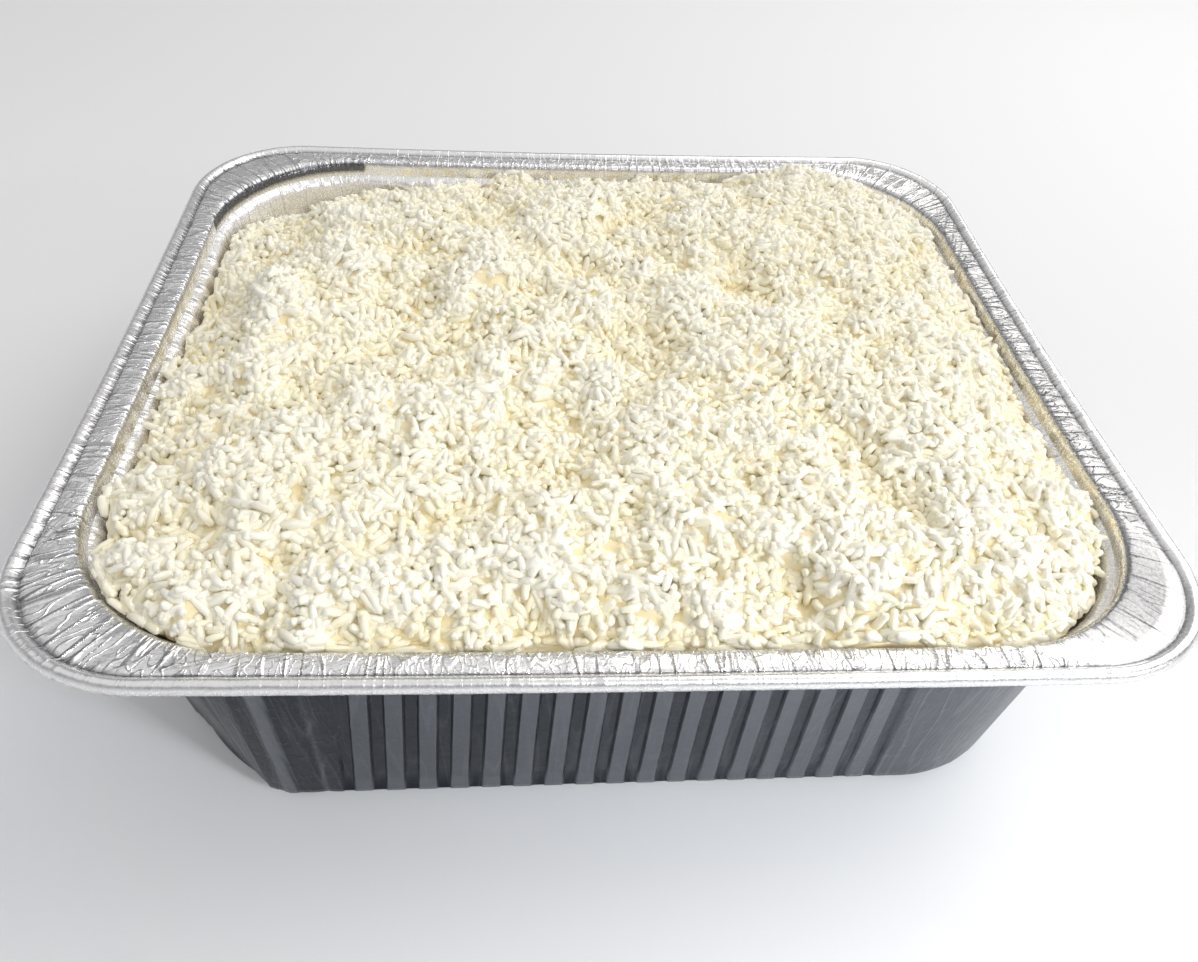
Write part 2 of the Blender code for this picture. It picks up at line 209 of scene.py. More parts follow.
# Ribs, with none on the first and the last pitch of a side: 0 on a rib, 1 in a groove, and a slope between
RIB_HALF_WIDTH = 0.25
RIB_SLOPE = 0.08
RIB_DEPTH = 0.0012
pitches = np.where(COLUMNS[:, 0] % 2 == 0, PITCHES_ON_SHORT_SIDE, PITCHES_ON_LONG_SIDE)
on_pitch = COLUMNS[:, 2] * pitches
RIBBED = ~ON_CORNER & (on_pitch > 0.9) & (on_pitch < pitches - 0.9)
groove = np.where(RIBBED, np.clip((np.abs(on_pitch % 1.0 - 0.5) - RIB_HALF_WIDTH) / RIB_SLOPE, 0, 1), 0.0)
RIBS = groove * groove * (3 - 2 * groove) * RIB_DEPTH


# Foil pan. The sheet runs from the middle of the floor out to the foot, up the ribbed walls, over the
# shoulder and the lip, out along the flange, and ends rolled under itself in a hem.

FLOOR = ((0.1250, 0.012, 0.0007), (0.0400, 0.036, 0.0007), (0.0370, 0.037, 0.0000), (0.0275, 0.0435, 0.0000))
FOOT = ((0.0250, 0.0456, 0.0007), (0.0238, 0.0466, 0.0024))
WALL_LEVELS = (0.0, 0.025, 0.12, 0.25, 0.38, 0.52, 0.66, 0.80, 0.92, 0.975, 1.0)
LIP = ((0.0145, 0.0519, 0.0800), (0.0133, 0.0528, 0.0806), (0.0129, 0.0530, 0.0832), (0.0127, 0.0530, 0.0856))
FLANGE = ((0.0121, 0.0519, 0.0864), (0.0105, 0.0491, 0.0865), (0.0090, 0.0462, 0.0865),
          (0.0076, 0.0434, 0.0865), (0.0065, 0.0410, 0.0864), (0.0058, 0.0390, 0.0863))
GROOVE = ((0.0052, 0.0376, 0.0859), (0.0046, 0.0377, 0.0861))
HEM_MIDDLE = (0.0022, 0.0856)
HEM_REACH = (0.00176, 0.00200)
HEM_STEPS = 9
FOIL_THICKNESS = 0.0004
# The walls' outside tones below are painted light and shade.
RIB_PAINTED_LIGHT = 0.60
GROOVE_PAINTED_SHADE = 0.12
PLAIN_PAINTED_SHADES = (0.10, 0.34)
CREASE_HIGHLIGHT_TONE = 0.75
CREASE_HIGHLIGHT_HEIGHT = 0.0009
SHADE_TO_THE_SIDES = 0.13
GLINT_TONE = 0.4
LIP_EDGE = 0.0850
LIP_FOOT = 0.0807
FLANGE_TONE = 0.68


def level(inset, corner, z, ribs=0.0, walls=0.0, flange=0.0, hem=0.0, outside=0.5, inside=0.7, crumple=1.0,
          spread=1.0):
    """One ring of the skin: place of every column with its creases, the tones of the sheet's two faces there
    with their painted light and shade, how crumpled it is, and how far round it lies."""
    place, out = outline(inset, corner, spread)
    x, y = place[:, 0], place[:, 1]
    round_way = round_place(x, y)
    height = z + along_line(FLANGE_CREASES, x, y) * flange + along_line(HEM_CREASES, x, y) * hem
    inwards = RIBS * ribs + along_line(WALL_CREASES, x, y) * walls
    x = x - out[:, 0] * inwards
    y = y - out[:, 1] * inwards
    push = dent(x, y, z) / math.sqrt(2)
    share = np.clip(height / RIM_HEIGHT, 0, 1)
    height = height + rim_wave(x, y) * share * share
    places = np.stack((x + push, y + push, height), 1)
    even = np.zeros(len(COLUMNS))
    return places, outside + even, inside + even, crumple * CRUMPLE, round_way


rings = [level(*ring, outside=0.35, crumple=0.3) for ring in FLOOR + FOOT]

# The walls' outside in painted light and shade: ribs painted pale and grooves dark, a painted glint at each
# rib's foot, painted highlights on the creases of the plain ends, and painted shade towards the left with
# painted light towards the right
for share in WALL_LEVELS:
    inset, corner, z = (a + (b - a) * share for a, b in zip(WALL_FOOT, WALL_TOP))
    ribs = min(1.0, 0.25 + share * 30, 0.25 + (1 - share) * 30)
    spread = 1.0 + (RIBS_DRAWN_TOGETHER - 1.0) * share
    places = outline(inset, corner, spread)[0]
    crease_highlights = np.minimum(1.0, np.abs(along_line(WALL_CREASES, *places.T)) / CREASE_HIGHLIGHT_HEIGHT) ** 4
    plain = np.where(places[:, 0] < 0, *PLAIN_PAINTED_SHADES)
    lit_and_shaded_stripes = np.where(RIBBED, RIB_PAINTED_LIGHT - (RIB_PAINTED_LIGHT - GROOVE_PAINTED_SHADE) * groove, plain + CREASE_HIGHLIGHT_TONE * crease_highlights)
    lit_and_shaded_stripes = lit_and_shaded_stripes + SHADE_TO_THE_SIDES * np.clip(places[:, 0] / 0.09, -1, 1)
    if share == WALL_LEVELS[1]:
        lit_and_shaded_stripes = lit_and_shaded_stripes + GLINT_TONE * (1 - groove) * RIBBED
    crumple = np.where(RIBBED, 0.4, 0.45 / CRUMPLE)
    # Inside, the grooves are painted darker: painted shade.
    rings.append(level(inset, corner, z, ribs=ribs, walls=0.45 + 0.55 * share, outside=lit_and_shaded_stripes,
                       inside=1.0 - 0.16 * groove, crumple=crumple, spread=spread))

# The lip in painted light and shade: painted bright with the ribs' ends and painted darker in their grooves,
# painted shade just under the flange, and a painted shadow all over at the far left corner
far_left = ON_CORNER & (COLUMNS[:, 0] == 2)
for inset, corner, z in LIP:
    bright = np.where(z > LIP_EDGE, 0.40, 1.0 - 0.22 * groove)
    rings.append(level(inset, corner, z, walls=0.25, outside=0.4, crumple=0.4,
                       inside=np.where(far_left & (z > LIP_FOOT), 0.05, bright),
                       spread=RIBS_DRAWN_TOGETHER if z < LIP_EDGE else 1.0))

# The flange, with painted shade and a painted reflection: greyer along the right side, and on the smooth
# near right corner greyer on the inner part and paler on the outer
way = COLUMNS[:, 2]
quarter = COLUMNS[:, 0]
at_near_right = (quarter == 0) & ON_CORNER
at_far_right = (quarter == 1) & ON_CORNER
right_side = np.where(quarter == 0, np.where(ON_CORNER, way, 1.0), np.where(at_far_right, 1 - way, 0))
reflection_patch = np.where(at_near_right, np.sin(way * math.pi), 0.0)
for number, (inset, corner, z) in enumerate(FLANGE):
    patch_shading = 0.38 if number < 4 else -0.20
    flange_shading = FLANGE_TONE - 0.34 * right_side ** 2 - patch_shading * reflection_patch
    rings.append(level(inset, corner, z, flange=0.35 + 0.13 * number, inside=flange_shading))
# The groove is painted darker: painted shade.
for inset, corner, z in GROOVE:
    rings.append(level(inset, corner, z, flange=0.3, inside=0.25, crumple=0.5))
for step in range(HEM_STEPS):
    turn = math.radians(40 + 290 * step / (HEM_STEPS - 1))
    inset = HEM_MIDDLE[0] + HEM_REACH[0] * math.cos(turn)
    z = HEM_MIDDLE[1] + HEM_REACH[1] * math.sin(turn)
    outermost = step in (3, 4)
    rings.append(level(inset, RIM_CORNER - inset, z, hem=0.0 if outermost else 0.6, inside=FLANGE_TONE,
                       crumple=0.18))

bpy.ops.mesh.primitive_circle_add(vertices=len(COLUMNS), radius=RIM_DEPTH / 4, fill_type="NGON")
pan = bpy.context.object
pan.name = "foil_pan"
bpy.ops.object.mode_set(mode="EDIT")
skin = bmesh.from_edit_mesh(pan.data)
skin.verts.layers.int.new("column")
skin.verts.layers.int.new("ring")
LAYERS = ("outside_tone_and_shade", "inside_tone_and_shade", "crumple", "round")
for layer in LAYERS:
    skin.verts.layers.float.new(layer)
column_of = skin.verts.layers.int["column"]
by_turn = sorted(skin.verts, key=lambda v: math.atan2(v.co.y, v.co.x))
first = min(range(len(COLUMNS)), key=lambda i: math.atan2(rings[0][0][i][1], rings[0][0][i][0]))
for i, v in enumerate(by_turn):
    v[column_of] = (first + i) % len(COLUMNS)
bpy.ops.mesh.select_all(action="DESELECT")
for e in skin.edges:
    e.select = True
bmesh.update_edit_mesh(pan.data)
for number, (places, *values) in enumerate(rings):
    if number:
        bpy.ops.mesh.select_mode(type="EDGE")
        bpy.ops.mesh.extrude_edges_move()
    skin = bmesh.from_edit_mesh(pan.data)
    column_of = skin.verts.layers.int["column"]
    ring_of = skin.verts.layers.int["ring"]
    layers = [skin.verts.layers.float[layer] for layer in LAYERS]
    for v in skin.verts:
        if v.select:
            v.co = places[v[column_of]]
            v[ring_of] = number
            for layer, value in zip(layers, values):
                v[layer] = value[v[column_of]]
bpy.ops.mesh.select_all(action="SELECT")
bpy.ops.mesh.normals_make_consistent(inside=False)
skin.faces.ensure_lookup_table()
if skin.faces[0].normal.z > 0:
    bpy.ops.mesh.flip_normals()
bpy.ops.mesh.select_all(action="DESELECT")
bpy.ops.object.mode_set(mode="OBJECT")

# A map of the sheet in metres: round the pan one way, from the floor's middle to the hem the other
profile = np.stack([ring[0][len(COLUMNS) // 4] for ring in rings])
across_way = np.concatenate(((0.0,), np.cumsum(np.linalg.norm(np.diff(profile, axis=0), axis=1))))
sheet = pan.data.uv_layers.new(name="sheet")
round_at = [item.value for item in pan.data.attributes["round"].data]
ring_at = [item.value for item in pan.data.attributes["ring"].data]
for face in pan.data.polygons:
    ways = [round_at[i] for i in face.vertices]
    wraps = max(ways) - min(ways) > ROUND / 2
    for loop, vertex in zip(face.loop_indices, face.vertices):
        way = round_at[vertex]
        sheet.data[loop].uv = (way + ROUND if wraps and way < ROUND / 2 else way, across_way[ring_at[vertex]])


# Foil finishes. Both faces are rolled aluminium. The face on the pan's outside is duller, and its dark colour
# is painted shade. The other is bright, with sharp creases across the rim and fine dents, and a thin film of
# starch on the walls.

def foil_grain_group():
    """Creases that run across the sheet, dents and sparkle of handled foil, as a height and two masks."""
    group = bpy.data.node_groups.new("Foil grain", "ShaderNodeTree")
    for name, value in (("Creasing", 1.0), ("Dents", 0.5), ("Sparkle", 0.3)):
        group.interface.new_socket(name, in_out="INPUT", socket_type="NodeSocketFloat").default_value = value
    for name in ("Height", "Lines", "Flecks"):
        group.interface.new_socket(name, in_out="OUTPUT", socket_type="NodeSocketFloat")
    nodes, links = group.nodes, group.links
    start = nodes.new("NodeGroupInput")
    end = nodes.new("NodeGroupOutput")
    sheet_map = nodes.new("ShaderNodeUVMap")
    sheet_map.uv_map = "sheet"
    crumple = nodes.new("ShaderNodeAttribute")
    crumple.attribute_name = "crumple"

    def noise_on(vector, scale, detail, distortion=0.0):
        texture = nodes.new("ShaderNodeTexNoise")
        texture.inputs["Scale"].default_value = scale
        texture.inputs["Detail"].default_value = detail
        texture.inputs["Distortion"].default_value = distortion
        links.new(vector, texture.inputs["Vector"])
        return texture.outputs["Fac"]

    def stretched(along, across):
        mapping = nodes.new("ShaderNodeMapping")
        mapping.inputs["Scale"].default_value = (along, across, 1.0)
        links.new(sheet_map.outputs["UV"], mapping.inputs["Vector"])
        return mapping.outputs["Vector"]

    def math_of(operation, a, b):
        node = nodes.new("ShaderNodeMath")
        node.operation = operation
        for socket, value in zip(node.inputs, (a, b)):
            if isinstance(value, (int, float)):
                socket.default_value = value
            else:
                links.new(value, socket)
        return node.outputs["Value"]

    def lines_of(fac, width):
        """Thin lines where a noise passes its middle value."""
        distance = math_of("ABSOLUTE", math_of("SUBTRACT", fac, 0.5), 0.0)
        edge = nodes.new("ShaderNodeMapRange")
        edge.inputs["From Max"].default_value = width
        edge.inputs["To Min"].default_value = 1.0
        edge.inputs["To Max"].default_value = 0.0
        links.new(distance, edge.inputs["Value"])
        return edge.outputs["Result"]

    long_lines = lines_of(noise_on(stretched(150.0, 14.0), 1.0, 1.0, 0.3), 0.040)
    short_lines = lines_of(noise_on(stretched(430.0, 90.0), 1.0, 0.0, 0.5), 0.060)
    lines = math_of("MULTIPLY", math_of("ADD", long_lines, math_of("MULTIPLY", short_lines, 0.45)),
                    crumple.outputs["Fac"])
    dents = noise_on(sheet_map.outputs["UV"], 150.0, 2.0)
    flecks = noise_on(sheet_map.outputs["UV"], 1100.0, 3.0, 0.5)
    height = math_of("MULTIPLY", lines, start.outputs["Creasing"])
    height = math_of("ADD", height, math_of("MULTIPLY", dents, start.outputs["Dents"]))
    sparkle = math_of("MULTIPLY", flecks, start.outputs["Sparkle"])
    height = math_of("ADD", height, math_of("MULTIPLY", sparkle, crumple.outputs["Fac"]))
    links.new(height, end.inputs["Height"])
    links.new(lines, end.inputs["Lines"])
    links.new(flecks, end.inputs["Flecks"])
    return group


FOIL_GRAIN = foil_grain_group()


def foil_material(name, tone_layer, dark, light, roughness, relief, painted_crease_shading, bump, film):
    """Foil that goes from dark to light with its tone, with crease lines painted lighter (painted highlight)
    or darker (painted shade), and from bare metal to filmed at the highest tones.
    """
    mat = bpy.data.materials.new(name)
    mat.use_nodes = True
    nodes, links = mat.node_tree.nodes, mat.node_tree.links
    shader = nodes["Principled BSDF"]
    grain = nodes.new("ShaderNodeGroup")
    grain.node_tree = FOIL_GRAIN
    for socket, value in zip(("Creasing", "Dents", "Sparkle"), relief):
        grain.inputs[socket].default_value = value
    tone = nodes.new("ShaderNodeAttribute")
    tone.attribute_name = tone_layer
    mixed = nodes.new("ShaderNodeMath")
    mixed.operation = "MULTIPLY_ADD"
    mixed.inputs[1].default_value = 0.35
    links.new(grain.outputs["Flecks"], mixed.inputs[0])
    links.new(tone.outputs["Fac"], mixed.inputs[2])
    ramp = nodes.new("ShaderNodeValToRGB")
    ramp.color_ramp.elements[0].position = 0.25
    ramp.color_ramp.elements[0].color = (*dark, 1)
    ramp.color_ramp.elements[1].position = 0.85
    ramp.color_ramp.elements[1].color = (*light, 1)
    # The crease lines shift the tone: painted highlights on the outside, painted shade on the inside.
    crease_shaded = nodes.new("ShaderNodeMath")
    crease_shaded.operation = "MULTIPLY_ADD"
    crease_shaded.inputs[1].default_value = painted_crease_shading
    links.new(grain.outputs["Lines"], crease_shaded.inputs[0])
    links.new(mixed.outputs["Value"], crease_shaded.inputs[2])
    links.new(crease_shaded.outputs["Value"], ramp.inputs["Fac"])
    links.new(ramp.outputs["Color"], shader.inputs["Base Color"])
    filmed = nodes.new("ShaderNodeMapRange")
    filmed.inputs["From Min"].default_value = 0.75
    filmed.inputs["From Max"].default_value = 1.0
    filmed.inputs["To Min"].default_value = 1.0
    filmed.inputs["To Max"].default_value = film
    links.new(tone.outputs["Fac"], filmed.inputs["Value"])
    links.new(filmed.outputs["Result"], shader.inputs["Metallic"])
    rough = nodes.new("ShaderNodeMapRange")
    rough.inputs["From Min"].default_value = 0.3
    rough.inputs["From Max"].default_value = 0.7
    rough.inputs["To Min"].default_value = roughness[0]
    rough.inputs["To Max"].default_value = roughness[1]
    links.new(grain.outputs["Flecks"], rough.inputs["Value"])
    links.new(rough.outputs["Result"], shader.inputs["Roughness"])
    bumps = nodes.new("ShaderNodeBump")
    bumps.inputs["Strength"].default_value = 1.0
    bumps.inputs["Distance"].default_value = bump
    links.new(grain.outputs["Height"], bumps.inputs["Height"])
    links.new(bumps.outputs["Normal"], shader.inputs["Normal"])
    return mat


# The outside's dark colours are painted shade.
pan.data.materials.append(foil_material(
    "Foil outside", "outside_tone_and_shade", dark=(0.040, 0.044, 0.054), light=(0.17, 0.18, 0.20),
    roughness=(0.28, 0.42), relief=(0.6, 0.5, 0.10), painted_crease_shading=0.45, bump=0.0004, film=1.0))
# Inside, the crease lines are painted darker: painted shade.
pan.data.materials.append(foil_material(
    "Foil inside", "inside_tone_and_shade", dark=(0.16, 0.16, 0.17), light=(0.93, 0.92, 0.92),
    roughness=(0.20, 0.32), relief=(0.8, 0.7, 0.14), painted_crease_shading=-0.16, bump=0.0006, film=0.55))
thicken = pan.modifiers.new("Foil", "SOLIDIFY")
thicken.thickness = FOIL_THICKNESS
thicken.offset = -1.0
thicken.material_offset = 1
thicken.material_offset_rim = 1
bpy.ops.object.modifier_apply(modifier=thicken.name)
bpy.ops.object.shade_smooth_by_angle(angle=math.radians(50))
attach(pan, "root")
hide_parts("foil_tray")


# Rice finish. Steamed grains are moist and let light in; here that is painted: cream white, with a tan
# painted shade where light comes only through other grains, and a soft sheen. Each grain has its own shade.

def rice_material(name, colours, bump):
    """Cooked rice in three colours, from painted shade deep between grains to open to the light, with a fine
    mottle.
    """
    mat = bpy.data.materials.new(name)
    mat.use_nodes = True
    nodes, links = mat.node_tree.nodes, mat.node_tree.links
    shader = nodes["Principled BSDF"]
    shader.inputs["Roughness"].default_value = 0.50
    shader.inputs["Specular IOR Level"].default_value = 0.35
    shade = nodes.new("ShaderNodeAttribute")
    shade.attribute_name = "shade"
    coords = nodes.new("ShaderNodeTexCoord")
    mottle = nodes.new("ShaderNodeTexNoise")
    mottle.inputs["Scale"].default_value = 240.0
    mottle.inputs["Detail"].default_value = 3.0
    links.new(coords.outputs["Object"], mottle.inputs["Vector"])
    mixed = nodes.new("ShaderNodeMath")
    mixed.operation = "MULTIPLY_ADD"
    mixed.inputs[1].default_value = 0.3
    links.new(mottle.outputs["Fac"], mixed.inputs[0])
    links.new(shade.outputs["Fac"], mixed.inputs[2])
    ramp = nodes.new("ShaderNodeValToRGB")
    ramp.color_ramp.elements[1].position = 1.0
    ramp.color_ramp.elements.new(0.45)
    for stop, colour in zip(ramp.color_ramp.elements, colours):
        stop.color = (*colour, 1)
    links.new(mixed.outputs["Value"], ramp.inputs["Fac"])
    links.new(ramp.outputs["Color"], shader.inputs["Base Color"])
    relief = nodes.new("ShaderNodeBump")
    relief.inputs["Strength"].default_value = 0.5
    relief.inputs["Distance"].default_value = bump
    links.new(mottle.outputs["Fac"], relief.inputs["Height"])
    links.new(relief.outputs["Normal"], shader.inputs["Normal"])
    return mat


# The first, tan colour is the painted shade of deep grains.
grain_finish = rice_material(
    "Steamed grain", ((0.92, 0.77, 0.42), (0.965, 0.895, 0.67), (0.975, 0.945, 0.83)), 0.0004)
# The packed mass shows only between grains; its tan colours are painted shade.
mass_finish = rice_material(
    "Packed rice", ((0.90, 0.77, 0.47), (0.94, 0.85, 0.60), (0.965, 0.92, 0.76)), 0.0014)


# Rice, bedded mass. Cooked rice heaped by hand: under the loose grains lies a packed mass that fills the
# pan up to its walls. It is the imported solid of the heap, shrunk by half a grain's width and roughened.

GRAIN_LENGTH = 0.0078
GRAIN_WIDTH = 0.0026
MASS_VOXEL = 0.0021
MASS_SHRINKAGE = 0.0012

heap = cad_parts["rice_heap"]
mass = heap.copy()
mass.data = heap.data.copy()
mass.name = "rice_mass"
for key in [k for k in mass.keys() if k.startswith("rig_")]:
    del mass[key]
mass.parent = None
mass.matrix_world = Matrix.Identity(4)
bpy.context.scene.collection.objects.link(mass)
bpy.context.view_layer.objects.active = mass
mass.select_set(True)
bpy.ops.object.mode_set(mode="EDIT")
bpy.ops.mesh.select_all(action="SELECT")
bpy.ops.mesh.remove_doubles(threshold=0.00001)
bpy.ops.object.mode_set(mode="OBJECT")
surface_tree = BVHTree.FromObject(mass, bpy.context.evaluated_depsgraph_get())
voxels = mass.modifiers.new("Mass", "REMESH")
voxels.mode = "VOXEL"
voxels.voxel_size = MASS_VOXEL
bpy.ops.object.modifier_apply(modifier=voxels.name)
soften = mass.modifiers.new("Soften", "SMOOTH")
soften.factor = 0.5
soften.iterations = 4
bpy.ops.object.modifier_apply(modifier=soften.name)
shrink = mass.modifiers.new("Shrink", "DISPLACE")
shrink.mid_level = 0.0
shrink.strength = -MASS_SHRINKAGE
bpy.ops.object.modifier_apply(modifier=shrink.name)
bpy.ops.object.shade_smooth()
mass.select_set(False)


# The heap's surface as heights on a fine grid, with the small lumps that clinging grains make. All the
# grains are laid on it.

FIELD_STEP = 0.0015
LUMPS = ((0.0260, 0.0040), (0.0120, 0.0028), (0.0060, 0.0008))
CLUMP_SIZE = 0.019
CLUMP_RISE = 0.0024
CREVICE_DEPTH = 0.0026
CREVICE_WIDTH = 0.0042
EDGE_FALL = 0.0020
RIGHT_EDGE_FALL = 0.0040
EDGE_REACH = 0.009
CORNER_FILLS = ((-0.128, -0.112, 0.0050), (0.128, -0.112, 0.0025))
CORNER_FILL_REACH = 0.017
CROWN_ROOM = 0.0070
CROWN_SHARE = 0.35
ROOM_LEVELS = (0.005, 0.0795, 0.0812, 0.0866)
ROOM_INSETS = (0.0240, 0.0172, 0.0139, 0.0133)
ROOM_CORNERS = (0.0464, 0.0497, 0.0521, 0.0524)

field_x = np.arange(-RIM_LENGTH / 2, RIM_LENGTH / 2, FIELD_STEP)
field_y = np.arange(-RIM_DEPTH / 2, RIM_DEPTH / 2, FIELD_STEP)
field = np.full((len(field_x), len(field_y)), np.nan)
for i, x in enumerate(field_x):
    for j, y in enumerate(field_y):
        hit = surface_tree.ray_cast(Vector((x, y, 0.14)), Vector((0, 0, -1)))[0]
        if hit is not None:
            field[i, j] = hit.z
while np.isnan(field).any():
    around = np.stack([np.roll(field, shift, axis) for shift in (-1, 1) for axis in (0, 1)])
    known = ~np.isnan(around)
    spread = np.where(known, around, 0).sum(0) / np.maximum(known.sum(0), 1)
    field = np.where(np.isnan(field) & known.any(0), spread, field)


def room(x, y, z):
    """Distance from a point in the pan to its inner skin, positive inside, and the way to the wall."""
    share = np.clip(z / RIM_HEIGHT, 0, 1)
    level_z = z - rim_wave(x, y) * share * share
    inset = np.interp(level_z, ROOM_LEVELS, ROOM_INSETS)
    corner = np.interp(level_z, ROOM_LEVELS, ROOM_CORNERS)
    half_x, half_y = half_sizes(inset)
    a = np.abs(x) - (half_x - corner)
    b = np.abs(y) - (half_y - corner)
    out_x = np.where((a > 0) & (b > 0), a, np.where(a > b, 1.0, 0.0)) * np.sign(x)
    out_y = np.where((a > 0) & (b > 0), b, np.where(a > b, 0.0, 1.0)) * np.sign(y)
    gap = corner - np.hypot(np.maximum(a, 0), np.maximum(b, 0)) - np.minimum(np.maximum(a, b), 0)
    return gap, np.arctan2(out_y, out_x)


def blurred(values, reach):
    """A grid smoothed over this distance."""
    steps = np.arange(-3 * reach, 3 * reach + FIELD_STEP / 2, FIELD_STEP)
    weights = np.exp(-(steps / reach) ** 2 / 2)
    weights /= weights.sum()
    padded = np.pad(values, ((len(steps) - 1) // 2, len(steps) // 2), mode="edge")
    rows = np.apply_along_axis(np.convolve, 0, padded, weights, "valid")
    return np.apply_along_axis(np.convolve, 1, rows, weights, "valid")


def noise_grid(size, seed):
    """Smooth noise over the grid, about -1 to 1."""
    return np.array([[noise.noise(Vector((x, y, seed * size)) / size) for y in field_y] for x in field_x])


def clump_grid():
    """Rounded clumps that stand apart by crevices: 0 to 1 across each, and its own random rise."""
    columns = int(RIM_LENGTH / CLUMP_SIZE)
    rows = int(RIM_DEPTH / CLUMP_SIZE)
    at = np.stack(np.meshgrid(np.arange(columns) + 0.5, np.arange(rows) + 0.5), -1).reshape(-1, 2)
    at = at + rng.uniform(-0.45, 0.45, at.shape)
    at = (at / (columns, rows) - 0.5) * (RIM_LENGTH, RIM_DEPTH)
    rise = rng.uniform(-1, 1, len(at))
    warp = 0.35 * CLUMP_SIZE
    x = field_x[:, None] + warp * noise_grid(0.016, 3.0)
    y = field_y[None, :] + warp * noise_grid(0.016, 5.0)
    distance = np.hypot(x[..., None] - at[:, 0], y[..., None] - at[:, 1])
    order = np.argsort(distance, -1)[..., :2]
    nearest = np.take_along_axis(distance, order, -1)
    return np.clip((nearest[..., 1] - nearest[..., 0]) / CREVICE_WIDTH, 0, 1), rise[order[..., 0]]


def standing_out(reach, rise):
    """How far each point of the surface stands over what lies around it, -1 to 1 at this rise."""
    return np.clip((field - blurred(field, reach)) / rise, -1, 1)


field = blurred(field, 0.0016)
inside_clump, clump_rise = clump_grid()
field += CREVICE_DEPTH * blurred(inside_clump * (2 - inside_clump) - 0.8, 0.0012)
field += CLUMP_RISE * blurred(clump_rise, 0.0030)
for number, (size, height) in enumerate(LUMPS):
    field += height * noise_grid(size, 7.0 + number)
edge_gap = room(field_x[:, None], field_y[None, :], field)[0]
right_edge = np.clip(field_x[:, None] / 0.05 - 1.4, 0, 1)
field -= (EDGE_FALL + RIGHT_EDGE_FALL * right_edge) * np.exp(-(np.maximum(edge_gap, 0) / EDGE_REACH) ** 2)
for x, y, rise in CORNER_FILLS:
    away = np.hypot(field_x[:, None] - x, field_y[None, :] - y)
    field += rise * np.exp(-(away / CORNER_FILL_REACH) ** 2)
knee = cad_high[2] - CROWN_ROOM
field = np.where(field > knee, knee + CROWN_SHARE * (field - knee), field)
openness = standing_out(0.0060, 0.0022)
height_over = standing_out(0.0150, 0.0040)
patches = noise_grid(0.034, 2.0)
slope_x, slope_y = np.gradient(field, FIELD_STEP)


def sample(values, x, y):
    """Value of a grid between its points."""
    u = np.clip((np.asarray(x) - field_x[0]) / FIELD_STEP, 0, len(field_x) - 1.001)
    v = np.clip((np.asarray(y) - field_y[0]) / FIELD_STEP, 0, len(field_y) - 1.001)
    i, j = u.astype(int), v.astype(int)
    u, v = u - i, v - j
    low = values[i, j] * (1 - u) + values[i + 1, j] * u
    high = values[i, j + 1] * (1 - u) + values[i + 1, j + 1] * u
    return low * (1 - v) + high * v


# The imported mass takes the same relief, with bumps of the size of grains, and the lower grains lie half
# sunk in it. Beside the wall it falls away, and reaches out to the foil.

MASS_RISE = 0.0004
MASS_BUMPS = 0.0009
BUMP_SIZE = 0.0030
MASS_EDGE_FALL = 0.0022
MASS_EDGE_REACH = 0.0035
WALL_REACH = 0.0050
WALL_GAP = 0.0004
upper = [v for v in mass.data.vertices if v.co.z > 0.5 * RIM_HEIGHT]
faces_up = [v.normal.z > 0.45 for v in upper]
places = np.array([v.co for v in upper])
tops = sample(field, places[:, 0], places[:, 1]) + MASS_RISE
wall_gap = np.maximum(room(places[:, 0], places[:, 1], places[:, 2])[0], 0)
tops -= MASS_EDGE_FALL * np.exp(-(wall_gap / MASS_EDGE_REACH) ** 2)
for v, top, is_up in zip(upper, tops, faces_up):
    top = min(top + MASS_BUMPS * noise.noise(v.co / BUMP_SIZE), cad_high[2] - GRAIN_WIDTH)
    v.co.z = top if is_up else min(top, v.co.z)
places = np.array([v.co for v in upper])
gaps, ways = room(places[:, 0], places[:, 1], places[:, 2])
for v, gap, way in zip(upper, gaps, ways):
    if gap < WALL_REACH:
        share = 1 - gap / WALL_REACH if gap > WALL_GAP else 1.0
        outwards = (gap - WALL_GAP) * share
        v.co.x += outwards * math.cos(way)
        v.co.y += outwards * math.sin(way)
mass.data.materials.clear()
mass.data.materials.append(mass_finish)
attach(mass, "root")
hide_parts("rice_heap")


# Rice grains. Long grains, steamed plump, blunt at both ends and a little bowed. One grain is modelled and
# copied some thousands of times for each kind: sunk, bedded, loose on top, on end, and broken.

GRAIN_CLEARANCE = 0.0002
GRAIN_SIZES = (0.78, 1.15)
GRAIN_FATNESS = (0.84, 1.16)
PLUMPNESS = 1.16
BLUNTNESS = 1.08
BOW = 0.05
SHADE_IN_HOLLOWS = 0.18
SHADE_IN_BROAD_HOLLOWS = 0.16
PATCH_TINT = 0.08

bpy.ops.mesh.primitive_uv_sphere_add(segments=6, ring_count=4, radius=0.5)
grain = bpy.context.object
grain.name = "grain_form"
bpy.ops.object.mode_set(mode="EDIT")
bpy.ops.mesh.select_all(action="SELECT")
bpy.ops.transform.rotate(value=math.radians(90), orient_axis="Y", center_override=(0, 0, 0))
bpy.ops.transform.resize(value=(1.0, GRAIN_WIDTH / GRAIN_LENGTH, GRAIN_WIDTH / GRAIN_LENGTH * 0.92))
form = bmesh.from_edit_mesh(grain.data)
for v in form.verts:
    along = v.co.x * 2
    if 0.1 < abs(along) < 0.9:
        v.co.y *= PLUMPNESS
        v.co.z *= PLUMPNESS
        v.co.x *= BLUNTNESS
    v.co.z += BOW * (1 - along * along)
bmesh.update_edit_mesh(grain.data)
bpy.ops.mesh.quads_convert_to_tris()
bpy.ops.object.mode_set(mode="OBJECT")
GRAIN_POINTS = np.array([v.co for v in grain.data.vertices])
GRAIN_FACES = np.array([list(p.vertices) for p in grain.data.polygons])
